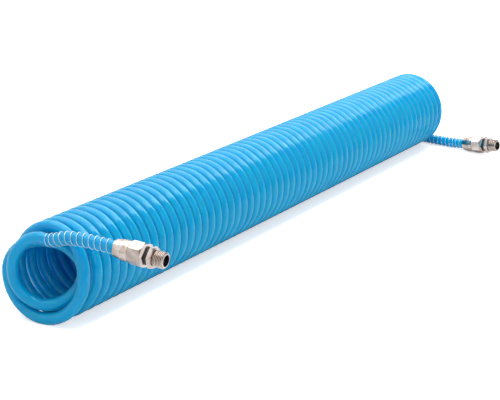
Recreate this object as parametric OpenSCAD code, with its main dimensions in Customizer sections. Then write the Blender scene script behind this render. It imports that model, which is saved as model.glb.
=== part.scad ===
// Coiled air hose: a spiral of polyurethane hose with a spring guard and a swivel fitting at each end.
// +X runs along the coil from its near end, +Z is up, and the hose lies on the plane Z = 0.
// The origin is on that plane, under the bottom of the middle turn. Both ends leave towards -Y.

/* [Hose] */
// Outside diameter of the hose
hose_d = 10; // [9:0.25:11]
// Bore of the hose
hose_bore = 6.5; // [6:0.1:6.8]
// Centre to centre distance of neighbouring turns
pitch = 10.6; // [10.5:0.1:12]
// Radius of the main turns, measured to the middle of the hose
coil_r = 36.5; // [34:0.5:42]
// Number of regular turns
main_turns = 56.5; // [28.5:2:56.5]
// Least room between the tightened end loop and the main turns
loop_room = 1.6; // [1.6:0.1:3]
// Depth of the flat on which each turn lies
flat_depth = 1; // [0.8:0.1:1.2]

/* [Spring guard] */
// Diameter of the spring wire
wire_d = 0.7; // [0.6:0.05:0.9]
// Room between the hose and the spring
spring_room = 0.15; // [0.1:0.05:0.25]
// Number of curls of one spring
spring_curls = 13; // [10:1:14]
// Length of the spring inside the union nut
spring_seat = 3.5; // [3:0.25:4]

/* [Union nut] */
// Width across flats of the hexagons of nut and body
hex_af = 17; // [16.5:0.25:19]
// Length of the tapered sleeve of the nut
sleeve_len = 14; // [12:0.5:16]
// Wall of the sleeve at its mouth
mouth_wall = 1.2; // [0.6:0.1:1.3]
// Length of the hexagon of the nut
nut_hex_len = 11; // [9:0.5:12]
// Bevel of the corners of the nut
nut_bevel = 1; // [0.5:0.1:1.2]
// Width and depth of the turned groove between sleeve and hexagon
ring_groove = 0.6; // [0.4:0.05:0.7]
// Width and depth of the fine lines turned into the sleeve
fine_line = 0.25; // [0.15:0.05:0.3]
// Number of fine lines
fine_lines = 4; // [2:1:5]
// Diameter of the thread that joins nut and body
union_thread_d = 13.9; // [13.5:0.1:14.2]

/* [Body] */
// Length of the hexagon of the body
body_hex_len = 2.8; // [2.5:0.1:4]
// Gap between the hexagons of nut and body
hex_gap = 0.3; // [0.2:0.1:0.6]
// Diameter of the barbed stem between its barbs
barb_core_d = 6.3; // [6:0.1:6.4]
// Height of each barb
barb_h = 0.4; // [0.2:0.05:0.45]
// Number of barbs
barbs = 3; // [2:1:4]
// Length of the barbed stem
barb_len = 11; // [10:0.5:12]
// Air way through the body
body_bore = 4.4; // [3.5:0.1:4.8]

/* [Swivel stem] */
// Outside diameter of the G1/4 thread
thread_d = 13.157; // [12.9:0.01:13.4]
// Pitch of the thread
thread_pitch = 1.337; // [1.2:0.01:1.4]
// Depth of the thread
thread_depth = 0.856; // [0.6:0.01:0.9]
// Width of the crest of the thread
crest_w = 0.3; // [0.2:0.05:0.4]
// Number of thread crests
crests = 6; // [5:1:8]
// Width across flats of the hexagon of the stem
stem_af = 16; // [15.5:0.25:17]
// Length of the hexagon of the stem
stem_hex_len = 3.7; // [3:0.1:5]
// Bevel of the corners of body and stem where they meet the bearing ring
thin_bevel = 0.2; // [0.15:0.05:0.4]
// Diameter of the journal that turns in the body
journal_d = 10.3; // [10:0.1:10.6]
// Length of the journal
journal_len = 10; // [9:0.25:10.5]
// Air way through the journal
stem_bore = 5; // [4:0.1:5.4]
// Wide mouth of the air way in the thread
mouth_bore = 9.4; // [8.5:0.1:9.5]
// Depth of the wide mouth
mouth_depth = 11; // [8:0.5:12]

/* [Rings] */
// Section of the O-ring
o_ring_section = 1.2; // [1:0.05:1.25]
// Section of the snap ring
snap_section = 1; // [0.8:0.05:1.1]
// Opening of the snap ring
snap_opening = 30; // [20:5:60]
// Thickness of the bearing ring
bearing_t = 3.1; // [2.5:0.1:3.5]
// Outside diameter of the bearing ring
bearing_d = 14; // [13:0.25:15]

/* [Fits] */
// Radial running clearance of the journal
running_fit = 0.05; // [0.03:0.01:0.08]
// Room around pieces that don't turn
seat_fit = 0.1; // [0.05:0.01:0.12]
// Room on each face of the bearing ring, and round the O-ring and the snap ring
end_fit = 0.05; // [0.04:0.01:0.08]

/* [Hidden] */
$fn = 64;

hose_blue = "#0a93d6";
nickel = "#cfc4bb";
steel = "#dfe3e6";
rubber_black = "#202020";
plastic_black = "#2a2826";

// --- the coil ---
// The near end is tightened: its first turn lies partly inside the main coil, and the next turns lean.
// For each quarter turn of the near end, from the top: how far out the hose lies, from 0 on
// the tightened loop to 1 on the main coil, and how many pitches along the coil it lies.
near_out = [0.65, 0, 0.05, 0.1, 0, 1, 1];
near_along = [
    0, -0.65, 0.1, 1.9, 1.3, 0, -0.1, 0.8, 1.65, 1.35, 1.6, 2.3, 2.7,
    2.6, 2.9, 3.35, 3.7, 3.75, 4.1, 4.4, 4.7, 4.9, 5.15, 5.4, 5.7
];
// Room that the last half turn opens by at the far end, in pitches
far_open = 0.4;
loop_r = coil_r - hose_d - loop_room;
coil_z = coil_r + hose_d / 2 - flat_depth;
near_q = len(near_along) - 1;
last_out = len(near_out) - 1;
last_q = near_q + 4 * main_turns;
curl_rings = 8;
curl_sides = 6;
tail_sides = 8;
// The far end leaves the coil high enough for its spring to lie on the plane.
spring_r = hose_d / 2 + spring_room + wire_d / 2;
spring_od = 2 * spring_r + wire_d;
far_lift = spring_od / 2 - (hose_d / 2 - flat_depth) + 0.05;
turns_to_mid = ceil((main_turns - near_along[near_q]) / 2);
mid_along = near_along[near_q] + 0.5 + turns_to_mid;

// Hose ends, as points from the straight end of the coil on
near_route = [
    [0, 0, 0], [0, -8, 1.8], [0.1, -16, 4.4], [0.4, -24, 5.8], [1, -32, 6.1],
    [1.8, -40, 6], [2.6, -48, 5.7], [3.4, -56, 5.2], [4.2, -64, 4.6]
];
far_route = [
    [0, 0, 0], [-1.2, -8, 0], [-2.2, -16, 0.1], [-3.2, -24, 0.1], [-4, -32, 0.2],
    [-4.8, -40, 0.3], [-5.5, -47, 0.6], [-6.4, -54, 1.15], [-7.7, -61, 2.1]
];

// --- the fitting, along its own axis from the mouth of the nut ---
seat_d = spring_od + 4 * seat_fit;
mouth_d = seat_d + 2 * mouth_wall;
end_bore = barb_core_d + 2 * barb_h + 2 * running_fit;
end_d = sqrt(hose_d * hose_d - hose_bore * hose_bore + end_bore * end_bore);
union_face = sleeve_len + 2.5;
hex_start = sleeve_len + nut_hex_len + hex_gap;
body_end = hex_start + body_hex_len;
stem_start = body_end + bearing_t + 2 * end_fit;
thread_start = stem_start + stem_hex_len;
thread_len = 0.8 + crests * thread_pitch + 0.5;
fitting_len = thread_start + thread_len;
socket_d = journal_d + 2 * running_fit;
socket_floor = stem_start - journal_len - 0.5;
o_ring_at = stem_start - journal_len + 2.2;
snap_at = body_end - 2;
// How far the hexagons are turned about the fitting's axis
nut_turn = 50;
stem_turn = 20;
// The far fitting rolls until the nut rests on the plane with a corner.
far_roll = 11;

function mix(a, b, t) = a + (b - a) * t;
function unit(v) = v / norm(v);
function clamp(v, low, high) = max(low, min(high, v));

// Smooth curve through a list of values or points, at a place counted in list items
function through(list, u) =
    let (
        last = len(list) - 1,
        i = clamp(floor(u), 0, last - 1),
        t = u - i,
        a = list[max(i - 1, 0)],
        b = list[i],
        c = list[i + 1],
        d = list[min(i + 2, last)]
    )
    b + t / 2 * ((c - a) + t * ((2 * a - 5 * b + 4 * c - d) + t * (3 * b - a - 3 * c + d)));

// Radius of the coil and its place along X, at q quarter turns from the near end
function coil_radius(q) =
    q < last_out ? mix(loop_r, coil_r, clamp(through(near_out, q), 0, 1))
    : coil_r - far_lift * pow(max(0, q - last_q + 1), 2);
function coil_along(q) =
    (q < near_q ? through(near_along, q)
    : near_along[near_q] + (q - near_q) / 4 + far_open * pow(max(0, (q - last_q + 2) / 2), 2)) * pitch;
function coil_point(q) =
    let (r = coil_radius(q))
    [coil_along(q) - mid_along * pitch, r * sin(90 * q), coil_z + r * cos(90 * q)];

near_start = coil_point(0) + [0, -hose_d, 0];
far_start = coil_point(last_q) + [0, -hose_d, 0];

// A ring of points round a place, in the plane of two directions
function ring(place, out, side, radius, sides) =
    [for (k = [0 : sides - 1]) place + radius * (cos(360 * k / sides) * out + sin(360 * k / sides) * side)];

// A closed tube through a list of rings
module tube(rings) {
    count = len(rings);
    sides = len(rings[0]);
    skin = [
        for (i = [0 : count - 2], j = [0 : sides - 1])
            let (a = i * sides + j, b = i * sides + (j + 1) % sides)
            each [[a, a + sides, b], [b, a + sides, b + sides]]
    ];
    first_cap = [for (j = [1 : sides - 2]) [0, j, j + 1]];
    last = (count - 1) * sides;
    last_cap = [for (j = [1 : sides - 2]) [last, last + j + 1, last + j]];
    polyhedron(points = [for (r = rings) each r], faces = concat(skin, first_cap, last_cap));
}

// --- the hose ---
function coil_ring(q, shift) =
    ring(coil_point(q) + shift, [0, sin(90 * q), cos(90 * q)], [1, 0, 0], hose_d / 2, curl_sides);

// Least distance of the hose's middle line from itself, on points half a ring apart
function coil_gap() =
    let (
        step = 4 / curl_rings,
        rings = [for (q = [0 : step : last_q]) coil_point(q)],
        line = [for (i = [0 : len(rings) - 2]) each [rings[i], (rings[i] + rings[i + 1]) / 2]],
        turn = 2 * curl_rings
    )
    min([
        for (i = [0 : len(line) - 1])
            for (j = [i + turn - 4 : min(i + 3 * turn, len(line) - 1)])
                norm(line[i] - line[j])
    ]) - hose_d;

module hose_coil() {
    step = 4 / curl_rings;
    rings = concat(
        [coil_ring(0, [0, -hose_d, 0])],
        [for (q = [0 : step : last_q]) coil_ring(q, [0, 0, 0])],
        [coil_ring(last_q, [0, -hose_d, 0])]
    );
    echo(least_gap_of_the_coil = coil_gap());
    color(hose_blue)
        difference() {
            tube(rings);
            translate([-50 * pitch, -coil_r, -2 * flat_depth])
                cube([100 * pitch, 2 * coil_r, 2 * flat_depth]);
        }
}

// Middle line of one hose end, from the last ring of the coil to the mouth of the nut
near_line = concat([near_start + [0, hose_d, 0]], [for (p = near_route) near_start + p]);
far_line = concat([far_start + [0, hose_d, 0]], [for (p = far_route) far_start + p]);

function line_dir(line, u) = unit(through(line, min(u + 0.02, len(line) - 1)) - through(line, max(u - 0.02, 0)));
function end_dir(line) = unit(line[len(line) - 1] - line[len(line) - 2]);

// Direction across a hose end, level and square to its run
function across(dir) = unit(cross(dir, [0, 0, 1]));

module hose_tail(line) {
    steps = 2 * (len(line) - 2);
    last = len(line) - 1;
    color(hose_blue)
        tube([
            for (k = [0 : steps])
                let (
                    u = 1 + k / 2,
                    dir = k == 0 ? [0, -1, 0] : k == steps ? end_dir(line) : line_dir(line, u),
                    side = across(dir)
                )
                ring(through(line, u), cross(side, dir), -side, hose_d / 2, tail_sides)
        ]);
}

// --- the spring guard ---
// The first curl is closer than the others.
first_curl = 0.7;
spring_steps = spring_curls * curl_rings;
function wound(k) =
    let (curls = k / curl_rings)
    (curls < 1 ? first_curl * curls : first_curl + curls - 1) / (first_curl + spring_curls - 1);

// Middle of the wire at step k: along the hose end, and then along the fitting
function spring_point(line, from, k) =
    let (
        last = len(line) - 1,
        reach = last - from + spring_seat / 8,
        u = from + reach * wound(k),
        dir = u < last ? line_dir(line, u) : end_dir(line),
        place = u < last ? through(line, u) : line[last] + (u - last) * 8 * dir,
        side = across(dir),
        up = cross(side, dir),
        turn = 360 * k / curl_rings
    )
    place + spring_r * (cos(turn) * up + sin(turn) * side);

module spring_guard(line, from) {
    points = [for (k = [0 : spring_steps]) spring_point(line, from, k)];
    first_dir = unit(points[1] - points[0]);
    last_dir = unit(points[spring_steps] - points[spring_steps - 1]);
    wire = concat([points[0] - wire_d * first_dir], points, [points[spring_steps] + wire_d * last_dir]);
    count = len(wire);
    gap = min([
        for (i = [0 : count - 1]) for (j = [i + 6 : min(i + 12, count - 1)]) norm(wire[i] - wire[j])
    ]) - wire_d;
    echo(least_gap_of_the_spring = gap);
    axis_dir = end_dir(line);
    color(steel)
        tube([
            for (i = [0 : count - 1])
                let (
                    dir = i == 0 ? first_dir
                        : i == count - 1 ? last_dir
                        : unit(wire[i + 1] - wire[i - 1]),
                    side = unit(cross(dir, axis_dir))
                )
                ring(wire[i], side, cross(side, dir), wire_d / 2, curl_sides)
        ]);
}

// --- the fitting ---
// Puts a piece on the axis of the fitting at the end of a hose
module on_end(line, roll) {
    dir = end_dir(line);
    translate(line[len(line) - 1])
        rotate([0, acos(dir[2]), atan2(dir[1], dir[0])])
            rotate([0, 0, roll])
                children();
}

module at(s) {
    translate([0, 0, s]) children();
}

// A hexagon with its corners bevelled round at both ends
module hexagon(af, len, low, high, turn) {
    corner_r = af / sqrt(3);
    intersection() {
        rotate([0, 0, turn])
            cylinder(h = len, r = corner_r, $fn = 6);
        rotate_extrude()
            polygon([
                [0, 0], [af / 2 - 0.1, 0], [corner_r + 0.1, low],
                [corner_r + 0.1, len - high], [af / 2 - 0.1, len], [0, len]
            ]);
    }
}

// A real bore through a piece of the fitting
module bore(from, to, d) {
    at(from) cylinder(h = to - from, d = d);
}

module hose_end() {
    color(hose_blue)
        difference() {
            union() {
                cylinder(h = spring_seat + 1, d = hose_d, $fn = tail_sides);
                at(spring_seat + 1) cylinder(h = union_face - spring_seat - 1, d = end_d);
            }
            bore(-1, union_face - barb_len, hose_bore);
            bore(union_face - barb_len, union_face + 1, end_bore);
        }
}

// What a turning tool takes off: a line as deep as it is wide
module turned_line(width, from_r) {
    difference() {
        cylinder(h = width, r = hex_af);
        at(-1) cylinder(h = width + 2, r = from_r - width);
    }
}

module union_nut() {
    thread_from = sleeve_len + 1;
    sleeve_r = hex_af / 2 - 0.1;
    line_from = sleeve_len - 3;
    color(nickel)
        difference() {
            union() {
                rotate_extrude()
                    polygon([
                        [0, 0], [mouth_d / 2 - 0.3, 0], [mouth_d / 2, 0.3],
                        [sleeve_r, line_from - 4 * fine_lines * fine_line],
                        [sleeve_r, sleeve_len + 1], [0, sleeve_len + 1]
                    ]);
                at(sleeve_len) hexagon(hex_af, nut_hex_len, nut_bevel, nut_bevel, nut_turn);
            }
            at(sleeve_len - ring_groove) turned_line(ring_groove, sleeve_r);
            for (i = [0 : fine_lines - 1])
                at(line_from - 4 * i * fine_line) turned_line(fine_line, sleeve_r);
            bore(-1, spring_seat + 1, seat_d);
            bore(0, sleeve_len + nut_hex_len, end_d + 2 * seat_fit);
            bore(thread_from, sleeve_len + nut_hex_len + 1, union_thread_d + 2 * running_fit);
        }
}

module barb_body() {
    barb_pitch = (barb_len - 1.5) / barbs;
    barb_from = union_face - barb_len;
    color(nickel)
        difference() {
            union() {
                at(barb_from) cylinder(h = barb_len, d = barb_core_d);
                for (i = [0 : barbs - 1])
                    at(barb_from + 0.4 + i * barb_pitch)
                        cylinder(h = 0.6 * barb_pitch, d1 = barb_core_d, d2 = barb_core_d + 2 * barb_h);
                at(union_face) cylinder(h = hex_start - union_face, d = union_thread_d);
                at(hex_start) hexagon(hex_af, body_hex_len, nut_bevel / 2, thin_bevel, stem_turn);
            }
            bore(barb_from - 1, socket_floor + 1, body_bore);
            bore(socket_floor, body_end + 1, socket_d);
            at(snap_at) cylinder(h = snap_section + 2 * seat_fit, d = journal_d + snap_section + 2 * seat_fit);
        }
}

module swivel_stem() {
    o_ring_floor = journal_d - 2 * o_ring_section + 2 * seat_fit;
    snap_floor = journal_d - snap_section - 2 * seat_fit;
    root_r = thread_d / 2 - thread_depth;
    first_crest = thread_start + 0.8;
    slope = (thread_pitch - crest_w) / 2;
    color(nickel)
        difference() {
            union() {
                at(stem_start - journal_len) cylinder(h = journal_len, d = journal_d);
                at(stem_start) hexagon(stem_af, stem_hex_len, thin_bevel, 1.5 * nut_bevel, stem_turn);
                rotate_extrude()
                    polygon(concat(
                        [[0, thread_start - 1], [root_r, thread_start - 1]],
                        [
                            for (i = [0 : crests - 1])
                                let (s = first_crest + i * thread_pitch)
                                each [
                                    [root_r, s], [thread_d / 2, s + slope],
                                    [thread_d / 2, s + slope + crest_w]
                                ]
                        ],
                        [
                            [root_r, first_crest + crests * thread_pitch],
                            [root_r, fitting_len - 0.3], [root_r - 0.3, fitting_len], [0, fitting_len]
                        ]
                    ));
            }
            bore(stem_start - journal_len - 1, fitting_len, stem_bore);
            bore(fitting_len - mouth_depth, fitting_len + 1, mouth_bore);
            at(o_ring_at) difference() {
                cylinder(h = o_ring_section + 2 * seat_fit, d = journal_d + 2);
                at(-1) cylinder(h = o_ring_section + 2, d = o_ring_floor);
            }
            at(snap_at) difference() {
                cylinder(h = snap_section + 2 * seat_fit, d = journal_d + 2);
                at(-1) cylinder(h = snap_section + 2, d = snap_floor);
            }
        }
}

module o_ring() {
    floor_r = journal_d / 2 - o_ring_section + seat_fit;
    wall_r = socket_d / 2;
    color(rubber_black)
        at(o_ring_at + seat_fit + o_ring_section / 2)
            rotate_extrude()
                translate([(floor_r + wall_r) / 2, 0])
                    circle(d = wall_r - floor_r - 2 * end_fit, $fn = 24);
}

// A split ring of round wire, half in the groove of the body and half in that of the stem
module snap_ring() {
    color(steel)
        at(snap_at + seat_fit + snap_section / 2)
            rotate([0, 0, snap_opening / 2])
                rotate_extrude(angle = 360 - snap_opening)
                    translate([journal_d / 2, 0])
                        circle(d = snap_section - 2 * end_fit, $fn = 24);
}

module bearing_ring() {
    color(plastic_black)
        at(body_end + end_fit)
            difference() {
                cylinder(h = bearing_t, d = bearing_d);
                at(-1) cylinder(h = bearing_t + 2, d = socket_d);
            }
}

// Place of the first curl of each spring on its hose end, in items of the line
near_spring_from = 0.85;
far_spring_from = 1.15;

module near_hose_tail() { hose_tail(near_line); }
module near_hose_end() { on_end(near_line, 0) hose_end(); }
module near_spring_guard() { spring_guard(near_line, near_spring_from); }
module near_union_nut() { on_end(near_line, 0) union_nut(); }
module near_barb_body() { on_end(near_line, 0) barb_body(); }
module near_swivel_stem() { on_end(near_line, 0) swivel_stem(); }
module near_o_ring() { on_end(near_line, 0) o_ring(); }
module near_snap_ring() { on_end(near_line, 0) snap_ring(); }
module near_bearing_ring() { on_end(near_line, 0) bearing_ring(); }
module far_hose_tail() { hose_tail(far_line); }
module far_hose_end() { on_end(far_line, 0) hose_end(); }
module far_spring_guard() { spring_guard(far_line, far_spring_from); }
module far_union_nut() { on_end(far_line, far_roll) union_nut(); }
module far_barb_body() { on_end(far_line, far_roll) barb_body(); }
module far_swivel_stem() { on_end(far_line, far_roll) swivel_stem(); }
module far_o_ring() { on_end(far_line, far_roll) o_ring(); }
module far_snap_ring() { on_end(far_line, far_roll) snap_ring(); }
module far_bearing_ring() { on_end(far_line, far_roll) bearing_ring(); }

hose_coil();
near_hose_tail();
near_hose_end();
near_spring_guard();
near_union_nut();
near_barb_body();
near_swivel_stem();
near_o_ring();
near_snap_ring();
near_bearing_ring();
far_hose_tail();
far_hose_end();
far_spring_guard();
far_union_nut();
far_barb_body();
far_swivel_stem();
far_o_ring();
far_snap_ring();
far_bearing_ring();
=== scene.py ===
import math
import bpy
import numpy as np
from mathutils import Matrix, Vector


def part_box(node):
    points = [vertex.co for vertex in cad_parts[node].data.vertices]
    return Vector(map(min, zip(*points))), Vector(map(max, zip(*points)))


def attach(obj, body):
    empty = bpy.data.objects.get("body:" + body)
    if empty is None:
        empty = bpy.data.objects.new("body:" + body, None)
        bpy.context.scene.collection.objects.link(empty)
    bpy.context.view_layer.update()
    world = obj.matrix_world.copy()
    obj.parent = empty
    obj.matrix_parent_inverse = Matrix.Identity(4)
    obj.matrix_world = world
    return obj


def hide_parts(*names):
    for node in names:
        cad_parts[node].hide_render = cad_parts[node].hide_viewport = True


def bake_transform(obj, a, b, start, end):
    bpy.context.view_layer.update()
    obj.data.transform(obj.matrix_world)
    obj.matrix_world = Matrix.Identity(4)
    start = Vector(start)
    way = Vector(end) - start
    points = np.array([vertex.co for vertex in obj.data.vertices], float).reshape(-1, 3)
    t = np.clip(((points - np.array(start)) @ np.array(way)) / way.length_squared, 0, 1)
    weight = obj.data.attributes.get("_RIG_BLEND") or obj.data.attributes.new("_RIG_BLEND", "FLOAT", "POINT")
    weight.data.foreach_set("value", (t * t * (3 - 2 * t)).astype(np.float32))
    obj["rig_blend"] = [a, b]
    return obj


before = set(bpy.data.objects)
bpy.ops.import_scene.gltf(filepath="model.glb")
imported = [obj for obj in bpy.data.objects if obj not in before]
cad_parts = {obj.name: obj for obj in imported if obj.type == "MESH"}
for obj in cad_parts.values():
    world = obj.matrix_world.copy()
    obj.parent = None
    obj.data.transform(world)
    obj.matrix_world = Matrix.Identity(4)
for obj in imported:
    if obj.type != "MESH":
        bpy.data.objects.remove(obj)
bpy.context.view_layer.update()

MM = 0.001
WHITE = (1, 1, 1, 1)

# --- sizes, in millimetres, as in the part's source ---
HOSE_D = 10
PITCH = 10.6
COIL_R = 36.5
MAIN_TURNS = 56.5
LOOP_ROOM = 1.6
FLAT_DEPTH = 1
WIRE_D = 0.7
SPRING_ROOM = 0.15
SPRING_CURLS = 13
SPRING_SEAT = 3.5
FIRST_CURL = 0.7
NEAR_SPRING_FROM = 0.85
FAR_SPRING_FROM = 1.15
FAR_OPEN = 0.4
FLOOR_ROOM = 0.05
ROUTE_STEP = 8

# Where the plate's painted shade lies, along a fitting and out from its axis
THREAD_FROM = 35.2
LIP_FROM = 43.8
THREAD_TOP = 6.5
THREAD_ROOT = 5.8
BORE_WALL = 5.2

# How far out the first quarter turns lie, from 0 on the loop's radius to 1 on the coil's
NEAR_OUT = np.array([0.65, 0, 0.05, 0.1, 0, 1, 1])
# How far along the coil the near end's quarter turns lie, in turns
NEAR_ALONG = np.array([
    0, -0.65, 0.1, 1.9, 1.3, 0, -0.1, 0.8, 1.65, 1.35, 1.6, 2.3, 2.7,
    2.6, 2.9, 3.35, 3.7, 3.75, 4.1, 4.4, 4.7, 4.9, 5.15, 5.4, 5.7,
])
# The hose's ends, as points from the straight end of the coil on
NEAR_ROUTE = np.array([
    [0, 0, 0], [0, -8, 1.8], [0.1, -16, 4.4], [0.4, -24, 5.8], [1, -32, 6.1],
    [1.8, -40, 6], [2.6, -48, 5.7], [3.4, -56, 5.2], [4.2, -64, 4.6],
])
FAR_ROUTE = np.array([
    [0, 0, 0], [-1.2, -8, 0], [-2.2, -16, 0.1], [-3.2, -24, 0.1], [-4, -32, 0.2],
    [-4.8, -40, 0.3], [-5.5, -47, 0.6], [-6.4, -54, 1.15], [-7.7, -61, 2.1],
])

LOOP_R = COIL_R - HOSE_D - LOOP_ROOM
COIL_Z = COIL_R + HOSE_D / 2 - FLAT_DEPTH
NEAR_Q = len(NEAR_ALONG) - 1
LAST_OUT = len(NEAR_OUT) - 1
LAST_Q = NEAR_Q + 4 * MAIN_TURNS
SPRING_R = HOSE_D / 2 + SPRING_ROOM + WIRE_D / 2
FAR_LIFT = SPRING_R + WIRE_D / 2 - (HOSE_D / 2 - FLAT_DEPTH) + FLOOR_ROOM
TURNS_TO_MID = math.ceil((MAIN_TURNS - NEAR_ALONG[-1]) / 2)
MID_ALONG = NEAR_ALONG[-1] + 0.5 + TURNS_TO_MID

# --- the camera ---
FRAME_W = 500
SENSOR_W = 36
CAMERA_AT = Vector((-1.1328, -0.7122, 0.4436))
CAMERA_YAW = 0.5751
CAMERA_DIP = 0.312
FOCAL_PX = 1400


def make_camera():
    data = bpy.data.cameras.new("camera")
    data.sensor_width = SENSOR_W
    data.lens = FOCAL_PX / FRAME_W * SENSOR_W
    data.clip_start = 0.01
    cam = bpy.data.objects.new("camera", data)
    bpy.context.scene.collection.objects.link(cam)
    look = Vector((
        math.cos(CAMERA_YAW) * math.cos(CAMERA_DIP),
        math.sin(CAMERA_YAW) * math.cos(CAMERA_DIP),
        -math.sin(CAMERA_DIP),
    ))
    cam.location = CAMERA_AT
    cam.rotation_mode = "QUATERNION"
    cam.rotation_quaternion = look.to_track_quat("-Z", "Y")
    bpy.context.scene.camera = cam


make_camera()


# --- the line that the hose follows ---
def through(items, u):
    """Smooth curve through a list, at a place counted in list items."""
    last = len(items) - 1
    i = min(max(math.floor(u), 0), last - 1)
    t = u - i
    a, b, c, d = items[max(i - 1, 0)], items[i], items[i + 1], items[min(i + 2, last)]
    return b + t / 2 * ((c - a) + t * ((2 * a - 5 * b + 4 * c - d) + t * (3 * b - a - 3 * c + d)))


def coil_point(q):
    """Middle of the hose, q quarter turns from the near end."""
    if q < LAST_OUT:
        out = min(max(through(NEAR_OUT, q), 0), 1)
        radius = LOOP_R + (COIL_R - LOOP_R) * out
    else:
        radius = COIL_R - FAR_LIFT * max(0, q - LAST_Q + 1) ** 2
    if q < NEAR_Q:
        along = through(NEAR_ALONG, q)
    else:
        along = NEAR_ALONG[-1] + (q - NEAR_Q) / 4 + FAR_OPEN * max(0, (q - LAST_Q + 2) / 2) ** 2
    angle = math.radians(90 * q)
    return np.array([
        (along - MID_ALONG) * PITCH, radius * math.sin(angle), COIL_Z + radius * math.cos(angle)
    ])


STRAIGHT = np.array([0, -HOSE_D, 0])
NEAR_LINE = np.vstack([coil_point(0), coil_point(0) + STRAIGHT + NEAR_ROUTE])
FAR_LINE = np.vstack([coil_point(LAST_Q), coil_point(LAST_Q) + STRAIGHT + FAR_ROUTE])


def unit(v):
    return v / np.linalg.norm(v)


def end_dir(line):
    return unit(line[-1] - line[-2])


def hose_line(per_turn, per_item):
    """The middle line from the near fitting to the far one, and how far along the coil each point is."""
    near_last = len(NEAR_LINE) - 1
    near_places = np.linspace(near_last, 0, near_last * per_item + 1)[:-1]
    near = [through(NEAR_LINE, u) for u in near_places]
    quarters = np.linspace(0, LAST_Q, int(LAST_Q / 4 * per_turn) + 1)
    coil = [coil_point(q) for q in quarters]
    far_last = len(FAR_LINE) - 1
    far_places = np.linspace(0, far_last, far_last * per_item + 1)[1:]
    far = [through(FAR_LINE, u) for u in far_places]
    share = [0.0] * len(near) + list(quarters / LAST_Q) + [1.0] * len(far)
    return np.array(near + coil + far), np.array(share)


# --- tubes ---
def tube_mesh(name, line, radius, sides):
    """A round tube along a line, in millimetres, with frames that don't twist."""
    count = len(line)
    tangent = np.gradient(line, axis=0)
    tangent /= np.linalg.norm(tangent, axis=1)[:, None]
    side = unit(np.cross(tangent[0], [0.1, 0.2, 1.0]))
    turn = np.arange(sides)[:, None] * 2 * math.pi / sides
    rings = []
    for i in range(count):
        side = unit(side - tangent[i] * (side @ tangent[i]))
        up = np.cross(tangent[i], side)
        rings.append(line[i] + radius * (np.cos(turn) * side + np.sin(turn) * up))
    faces = []
    for i in range(count - 1):
        here, there = i * sides, (i + 1) * sides
        for j in range(sides):
            k = (j + 1) % sides
            faces.append((here + j, here + k, there + k, there + j))
    faces.append(tuple(reversed(range(sides))))
    faces.append(tuple((count - 1) * sides + j for j in range(sides)))
    mesh = bpy.data.meshes.new(name)
    mesh.from_pydata((np.concatenate(rings) * MM).tolist(), [], faces)
    mesh.polygons.foreach_set("use_smooth", [len(f) == 4 for f in faces])
    mesh.update()
    return mesh


def piece(name, mesh):
    obj = bpy.data.objects.new(name, mesh)
    bpy.context.scene.collection.objects.link(obj)
    return obj


# --- materials ---
MIX_LOW, MIX_HIGH, MIX_RESULT = 6, 7, 2  # a mix node's colour sockets


def new_material(name):
    mat = bpy.data.materials.new(name)
    mat.use_nodes = True
    tree = mat.node_tree
    tree.nodes.clear()
    out = tree.nodes.new("ShaderNodeOutputMaterial")
    shader = tree.nodes.new("ShaderNodeBsdfPrincipled")
    tree.links.new(shader.outputs["BSDF"], out.inputs["Surface"])
    return mat, tree, shader


def node(tree, kind, **values):
    made = tree.nodes.new(kind)
    for key, value in values.items():
        if key in made.inputs:
            made.inputs[key].default_value = value
        else:
            setattr(made, key, value)
    return made


def set_inputs(made, values):
    for key, value in values.items():
        made.inputs[key].default_value = value


def feed(tree, source, socket):
    """Link a socket to another node's output, or set it to a plain value."""
    if isinstance(source, bpy.types.NodeSocket):
        tree.links.new(source, socket)
    else:
        socket.default_value = source


def reckon(tree, operation, *sources, kind="ShaderNodeMath", output="Value"):
    made = node(tree, kind, operation=operation)
    for source, socket in zip(sources, made.inputs):
        feed(tree, source, socket)
    return made.outputs[output]


def reckon_vector(tree, operation, *sources, output="Vector"):
    return reckon(tree, operation, *sources, kind="ShaderNodeVectorMath", output=output)


def map_range(tree, value, low, high, bottom=0, top=1, **settings):
    made = node(tree, "ShaderNodeMapRange", **settings)
    set_inputs(made, {"From Min": low, "From Max": high, "To Min": bottom, "To Max": top})
    tree.links.new(value, made.inputs["Value"])
    return made.outputs["Result"]


def mixed(tree, factor, low, high):
    made = node(tree, "ShaderNodeMix", data_type="RGBA")
    tree.links.new(factor, made.inputs["Factor"])
    feed(tree, low, made.inputs[MIX_LOW])
    feed(tree, high, made.inputs[MIX_HIGH])
    return made.outputs[MIX_RESULT]


def ramp(tree, factor, low, high):
    """A blend between two marks, each of them (place, colour)."""
    made = node(tree, "ShaderNodeValToRGB")
    for mark, (place, colour) in zip(made.color_ramp.elements, (low, high)):
        mark.position = place
        mark.color = (*colour, 1)
    tree.links.new(factor, made.inputs["Fac"])
    return made.outputs["Color"]


def noise(tree, place, scale, detail):
    made = node(tree, "ShaderNodeTexNoise", Scale=scale, Detail=detail)
    tree.links.new(place, made.inputs["Vector"])
    return made.outputs["Fac"]


def object_place(tree):
    return node(tree, "ShaderNodeTexCoord").outputs["Object"]


def add_colour(tree, shader, factor, low, high):
    tree.links.new(ramp(tree, factor, (0, low), (1, high)), shader.inputs["Base Color"])


def add_bump(tree, shader, height, strength, distance):
    bump = node(tree, "ShaderNodeBump", Strength=strength, Distance=distance)
    tree.links.new(height, bump.inputs["Height"])
    tree.links.new(bump.outputs["Normal"], shader.inputs["Normal"])


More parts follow.
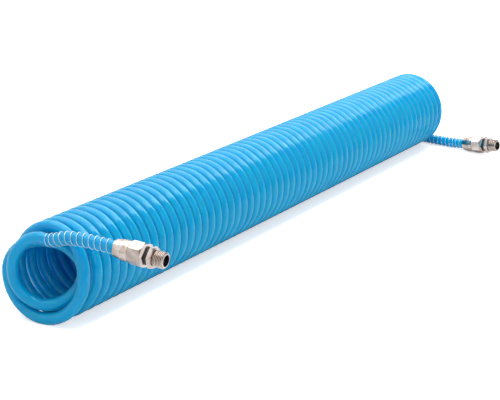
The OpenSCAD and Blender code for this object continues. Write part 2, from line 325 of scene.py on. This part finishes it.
def hose_material():
    mat, tree, shader = new_material("blue_polyurethane")
    place = object_place(tree)
    add_colour(tree, shader, noise(tree, place, 55, 3), (0, 0.375, 0.66), (0, 0.435, 0.75))
    add_bump(tree, shader, noise(tree, place, 180, 2), 0.05, 0.0006)
    set_inputs(shader, {
        "Roughness": 0.08,
        "IOR": 1.5,
        "Specular IOR Level": 0.5,
        "Specular Tint": (0.6, 0.9, 1, 1),
        "Sheen Weight": 0.3,
        "Sheen Roughness": 0.25,
        "Sheen Tint": (0.5, 0.9, 1, 1),
        "Subsurface Weight": 0.8,
        "Subsurface Radius": (0.05, 0.4, 1),
        "Subsurface Scale": 0.014,
    })
    return mat


def nickel_material(end, line):
    """Nickel plate, with painted shade in its thread valleys and bore, at places counted along and out from
    the axis of one fitting.
    """
    mat, tree, shader = new_material(f"{end}_nickel_plate")
    place = object_place(tree)
    plate = ramp(tree, noise(tree, place, 140, 4), (0.35, (0.58, 0.47, 0.41)), (0.6, (0.78, 0.70, 0.66)))

    way = tuple(end_dir(line))
    from_mouth = reckon_vector(tree, "SUBTRACT", place, tuple(line[-1] * MM))
    along = reckon_vector(tree, "DOT_PRODUCT", from_mouth, way, output="Value")
    arm = reckon_vector(tree, "CROSS_PRODUCT", from_mouth, way)
    out = reckon_vector(tree, "LENGTH", arm, output="Value")

    # Painted shade: the valleys of the thread are painted dark brown, and the air way inside it grey, for
    # the shade that falls in these hollows.
    thread_mid = (THREAD_FROM + LIP_FROM) / 2 * MM
    thread_half = (LIP_FROM - THREAD_FROM) / 2 * MM
    in_thread = reckon(tree, "COMPARE", along, thread_mid, thread_half)
    sunk = map_range(tree, out, THREAD_TOP * MM, THREAD_ROOT * MM)
    painted_shade_mask = reckon(tree, "MULTIPLY", sunk, in_thread)
    outside = reckon(tree, "GREATER_THAN", out, BORE_WALL * MM)
    shade = mixed(tree, outside, (0.42, 0.42, 0.41, 1), (0.20, 0.15, 0.12, 1))
    tree.links.new(mixed(tree, painted_shade_mask, plate, shade), shader.inputs["Base Color"])

    set_inputs(shader, {"Metallic": 1, "Roughness": 0.22})
    add_bump(tree, shader, noise(tree, place, 1400, 2), 0.08, 0.0001)
    return mat


def wire_material():
    mat, tree, shader = new_material("spring_wire")
    # The metal's cyan tint is a painted reflection of the blue hose around the wire.
    drawn = noise(tree, object_place(tree), 900, 2)
    add_colour(tree, shader, drawn, (0.50, 0.74, 0.83), (0.62, 0.83, 0.90))
    set_inputs(shader, {"Metallic": 1, "Roughness": 0.22})
    return mat


def plain_material(name, low, high, roughness, scale):
    mat, tree, shader = new_material(name)
    mottle = noise(tree, object_place(tree), scale, 3)
    add_colour(tree, shader, mottle, low, high)
    add_bump(tree, shader, mottle, 0.1, 0.0001)
    set_inputs(shader, {"Roughness": roughness})
    return mat


HOSE_MAT = hose_material()
NICKEL_MATS = {"near": nickel_material("near", NEAR_LINE), "far": nickel_material("far", FAR_LINE)}
WIRE_MAT = wire_material()
RUBBER_MAT = plain_material("black_rubber", (0.012, 0.012, 0.013), (0.03, 0.03, 0.03), 0.6, 900)
# Black plastic for the bearing ring: its darkness is partly painted shade of the gap between the hexes.
GAP_SHADE_PLASTIC_MAT = plain_material("black_plastic", (0.02, 0.018, 0.017), (0.045, 0.04, 0.036), 0.45, 500)


# --- the hose ---
TURN_POINTS = 48
ITEM_POINTS = 6
HOSE_SIDES = 20


def make_hose():
    line, share = hose_line(TURN_POINTS, ITEM_POINTS)
    mesh = tube_mesh("hose", line, HOSE_D / 2, HOSE_SIDES)
    # The soft hose lies flat where it meets the plane.
    co = np.empty(len(mesh.vertices) * 3)
    mesh.vertices.foreach_get("co", co)
    co = co.reshape(-1, 3)
    co[:, 2] = np.maximum(co[:, 2], 0)
    mesh.vertices.foreach_set("co", co.ravel())
    mesh.update()
    hose = piece("hose", mesh)
    mesh.materials.append(HOSE_MAT)
    low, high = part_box("hose_coil")
    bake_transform(hose, "root", "far_end", start=(low[0], 0, 0), end=(high[0], 0, 0))
    # Each point moves by its place along the hose, so that all turns open alike.
    weights = mesh.attributes["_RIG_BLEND"].data
    weights.foreach_set("value", np.repeat(share, HOSE_SIDES).astype(np.float32))
    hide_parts("hose_coil", "near_hose_tail", "far_hose_tail")
    return hose, line


hose, hose_middle = make_hose()


# --- the spring guards ---
CURL_POINTS = 28
WIRE_SIDES = 8
DIRECTION_STEP = 0.02


def wound(curls):
    """How far along the spring it has got, where the first curl is closer than the rest."""
    before = FIRST_CURL * curls if curls < 1 else FIRST_CURL + curls - 1
    return before / (FIRST_CURL + SPRING_CURLS - 1)


def spring_line(line, start):
    """The wire's middle line, round the hose and into the mouth of the nut."""
    last = len(line) - 1
    reach = last - start + SPRING_SEAT / ROUTE_STEP
    points = []
    for k in range(SPRING_CURLS * CURL_POINTS + 1):
        curls = k / CURL_POINTS
        u = start + reach * wound(curls)
        if u < last:
            place = through(line, u)
            ahead = through(line, min(u + DIRECTION_STEP, last))
            behind = through(line, max(u - DIRECTION_STEP, 0))
            way = unit(ahead - behind)
        else:
            way = end_dir(line)
            place = line[-1] + (u - last) * ROUTE_STEP * way
        side = unit(np.cross(way, [0, 0, 1]))
        up = np.cross(side, way)
        turn = 2 * math.pi * curls
        points.append(place + SPRING_R * (math.cos(turn) * up + math.sin(turn) * side))
    return np.array(points)


def make_spring(end, line, start, body):
    mesh = tube_mesh(f"{end}_spring", spring_line(line, start), WIRE_D / 2, WIRE_SIDES)
    mesh.materials.append(WIRE_MAT)
    spring = piece(f"{end}_spring", mesh)
    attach(spring, body)
    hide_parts(f"{end}_spring_guard")


make_spring("near", NEAR_LINE, NEAR_SPRING_FROM, "root")
make_spring("far", FAR_LINE, FAR_SPRING_FROM, "far_end")


# --- finishes of the CAD nodes ---
FINISH = {
    "hose_tail": HOSE_MAT,
    "hose_end": HOSE_MAT,
    "spring_guard": WIRE_MAT,
    "o_ring": RUBBER_MAT,
    "snap_ring": WIRE_MAT,
    # The bearing ring's black is partly painted shade in the gap between the hexes.
    "bearing_ring": GAP_SHADE_PLASTIC_MAT,
}
for name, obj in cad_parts.items():
    # The other pieces of a fitting are nickel, and the coil, with no end in its name, is hose.
    end, _, kind = name.partition("_")
    obj.data.materials.clear()
    obj.data.materials.append(FINISH.get(kind, NICKEL_MATS.get(end, HOSE_MAT)))


# --- floor, world and lamps ---
FLOOR_REACH = 6
FLOOR_GLOW = 0.6
ROOM_LIGHT = 0.42
ROOM_DIM = 0.3
LAMPS = [  # name, place, aim, size, watts
    ("panel", (0.9, 0.38, 1), (0.9, 0.38, 0), (3.2, 0.98), 14),
    ("strip", (0.9, -0.24, 1), (0.9, -0.24, 0), (3.2, 0.26), 11),
    ("fill", (-1.2, -1.2, 0.9), (0, 0, 0), (1.2, 1.2), 4),
]


def make_floor():
    mesh = bpy.data.meshes.new("floor")
    r = FLOOR_REACH
    mesh.from_pydata([(-r, -r, 0), (r, -r, 0), (r, r, 0), (-r, r, 0)], [], [(0, 1, 2, 3)])
    floor = piece("floor", mesh)
    mat, tree, shader = new_material("pale_floor")
    set_inputs(shader, {"Base Color": (0.85, 0.85, 0.85, 1), "Roughness": 0.8})
    out = next(n for n in tree.nodes if n.type == "OUTPUT_MATERIAL")
    # The camera sees the floor as nearly white, and the hose gets no more light from it.
    glow = node(tree, "ShaderNodeEmission", Strength=FLOOR_GLOW)
    both = node(tree, "ShaderNodeAddShader")
    ray = node(tree, "ShaderNodeLightPath")
    pick = node(tree, "ShaderNodeMixShader")
    tree.links.new(shader.outputs["BSDF"], both.inputs[0])
    tree.links.new(glow.outputs["Emission"], both.inputs[1])
    tree.links.new(ray.outputs["Is Camera Ray"], pick.inputs["Fac"])
    tree.links.new(shader.outputs["BSDF"], pick.inputs[1])
    tree.links.new(both.outputs["Shader"], pick.inputs[2])
    tree.links.new(pick.outputs["Shader"], out.inputs["Surface"])
    mesh.materials.append(mat)


def make_world():
    world = bpy.data.worlds.new("studio")
    bpy.context.scene.world = world
    world.use_nodes = True
    tree = world.node_tree
    tree.nodes.clear()
    ray = node(tree, "ShaderNodeLightPath").outputs
    light = node(tree, "ShaderNodeBackground", Color=WHITE, Strength=ROOM_LIGHT)

    # Gloss sees the room as white behind the hose, and as dimmer in front of it.
    seen = node(tree, "ShaderNodeBackground", Color=WHITE)
    parts = node(tree, "ShaderNodeSeparateXYZ")
    tree.links.new(node(tree, "ShaderNodeTexCoord").outputs["Generated"], parts.inputs[0])
    depth = map_range(
        tree, parts.outputs["Y"], -0.35, 0.1, bottom=ROOM_DIM, interpolation_type="SMOOTHSTEP"
    )
    # The camera itself sees white all round.
    strength = reckon(tree, "MAXIMUM", depth, ray["Is Camera Ray"])
    tree.links.new(strength, seen.inputs["Strength"])

    sharp = reckon(tree, "MAXIMUM", ray["Is Camera Ray"], ray["Is Glossy Ray"])
    clear = reckon(tree, "MAXIMUM", sharp, ray["Is Transmission Ray"])
    pick = node(tree, "ShaderNodeMixShader")
    out = node(tree, "ShaderNodeOutputWorld")
    tree.links.new(clear, pick.inputs["Fac"])
    tree.links.new(light.outputs["Background"], pick.inputs[1])
    tree.links.new(seen.outputs["Background"], pick.inputs[2])
    tree.links.new(pick.outputs["Shader"], out.inputs["Surface"])


def area_lamp(name, at, aim, size, power):
    data = bpy.data.lights.new(name, "AREA")
    data.shape = "RECTANGLE"
    data.size, data.size_y = size
    data.energy = power
    lamp = bpy.data.objects.new(name, data)
    bpy.context.scene.collection.objects.link(lamp)
    lamp.location = at
    lamp.rotation_mode = "QUATERNION"
    lamp.rotation_quaternion = (Vector(aim) - Vector(at)).to_track_quat("-Z", "Y")


make_floor()
make_world()
for lamp in LAMPS:
    area_lamp(*lamp)

bpy.context.scene.view_settings.view_transform = "Standard"
